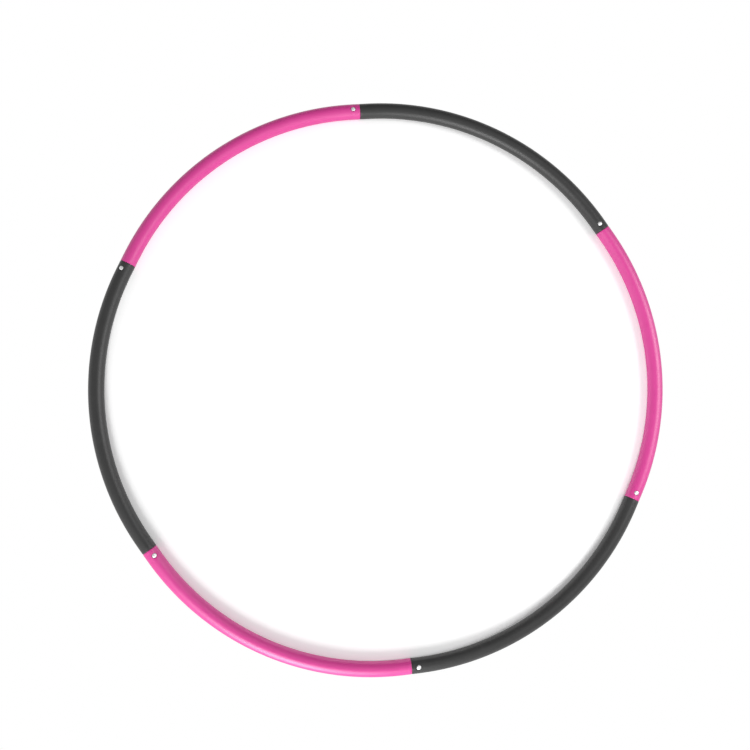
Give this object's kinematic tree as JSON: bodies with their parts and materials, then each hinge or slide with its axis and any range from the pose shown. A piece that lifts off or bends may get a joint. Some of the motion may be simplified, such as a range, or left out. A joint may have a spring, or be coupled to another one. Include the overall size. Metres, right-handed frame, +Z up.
{
  "type": "take-apart exercise hoop",
  "caption": "Large exercise hoop of curved steel tube sections under smooth foam, plugged end to end and locked by spring snap buttons.",
  "frame": {"origin": "on the hoop's axis, at the height of the floor that the hoop lies on", "axes": "+Z up along the hoop's axis, +Y towards joint 1, sections and joints numbered clockwise from above"},
  "size_m": [1, 0.9928, 0.0264],
  "materials": {
    "foam_dark": "satin",
    "foam_pink": "satin",
    "core_steel": "satin",
    "spigot_steel": "satin",
    "spring_steel": "satin",
    "button_metal": "gloss"
  },
  "bodies": {
    "hoop": {"foam_sleeve_1": "foam_dark", "core_tube_1": "core_steel", "spigot_1": "spigot_steel", "button_spring_1": "spring_steel", "foam_sleeve_2": "foam_pink", "core_tube_2": "core_steel", "spigot_2": "spigot_steel", "button_spring_2": "spring_steel", "foam_sleeve_3": "foam_dark", "core_tube_3": "core_steel", "spigot_3": "spigot_steel", "button_spring_3": "spring_steel", "foam_sleeve_4": "foam_pink", "core_tube_4": "core_steel", "spigot_4": "spigot_steel", "button_spring_4": "spring_steel", "foam_sleeve_5": "foam_dark", "core_tube_5": "core_steel", "spigot_5": "spigot_steel", "button_spring_5": "spring_steel", "foam_sleeve_6": "foam_pink", "core_tube_6": "core_steel", "spigot_6": "spigot_steel", "button_spring_6": "spring_steel"},
    "button_1": {"snap_button_1": "button_metal"},
    "button_2": {"snap_button_2": "button_metal"},
    "button_3": {"snap_button_3": "button_metal"},
    "button_4": {"snap_button_4": "button_metal"},
    "button_5": {"snap_button_5": "button_metal"},
    "button_6": {"snap_button_6": "button_metal"}
  },
  "joints": [
    {"name": "button_press_1", "type": "slide", "parent": "hoop", "child": "button_1", "axis": [0, 0.0523, 0.9986], "range_m": [-0.005, 0], "stiffness_N_per_m": 2500, "springref_m": 0.001, "deforming": ["button_spring_1"]},
    {"name": "button_press_2", "type": "slide", "parent": "hoop", "child": "button_2", "axis": [-0.1504, -0.0868, 0.9848], "range_m": [-0.005, 0], "stiffness_N_per_m": 2500, "springref_m": 0.001, "deforming": ["button_spring_2"]},
    {"name": "button_press_3", "type": "slide", "parent": "hoop", "child": "button_3", "axis": [-0.0604, 0.0349, 0.9976], "range_m": [-0.005, 0], "stiffness_N_per_m": 2500, "springref_m": 0.001, "deforming": ["button_spring_3"]},
    {"name": "button_press_4", "type": "slide", "parent": "hoop", "child": "button_4", "axis": [0, -0.0175, 0.9998], "range_m": [-0.005, 0], "stiffness_N_per_m": 2500, "springref_m": 0.001, "deforming": ["button_spring_4"]},
    {"name": "button_press_5", "type": "slide", "parent": "hoop", "child": "button_5", "axis": [0.282, 0.1628, 0.9455], "range_m": [-0.005, 0], "stiffness_N_per_m": 2500, "springref_m": 0.001, "deforming": ["button_spring_5"]},
    {"name": "button_press_6", "type": "slide", "parent": "hoop", "child": "button_6", "axis": [-0.2387, 0.1378, 0.9613], "range_m": [-0.005, 0], "stiffness_N_per_m": 2500, "springref_m": 0.001, "deforming": ["button_spring_6"]}
  ]
}
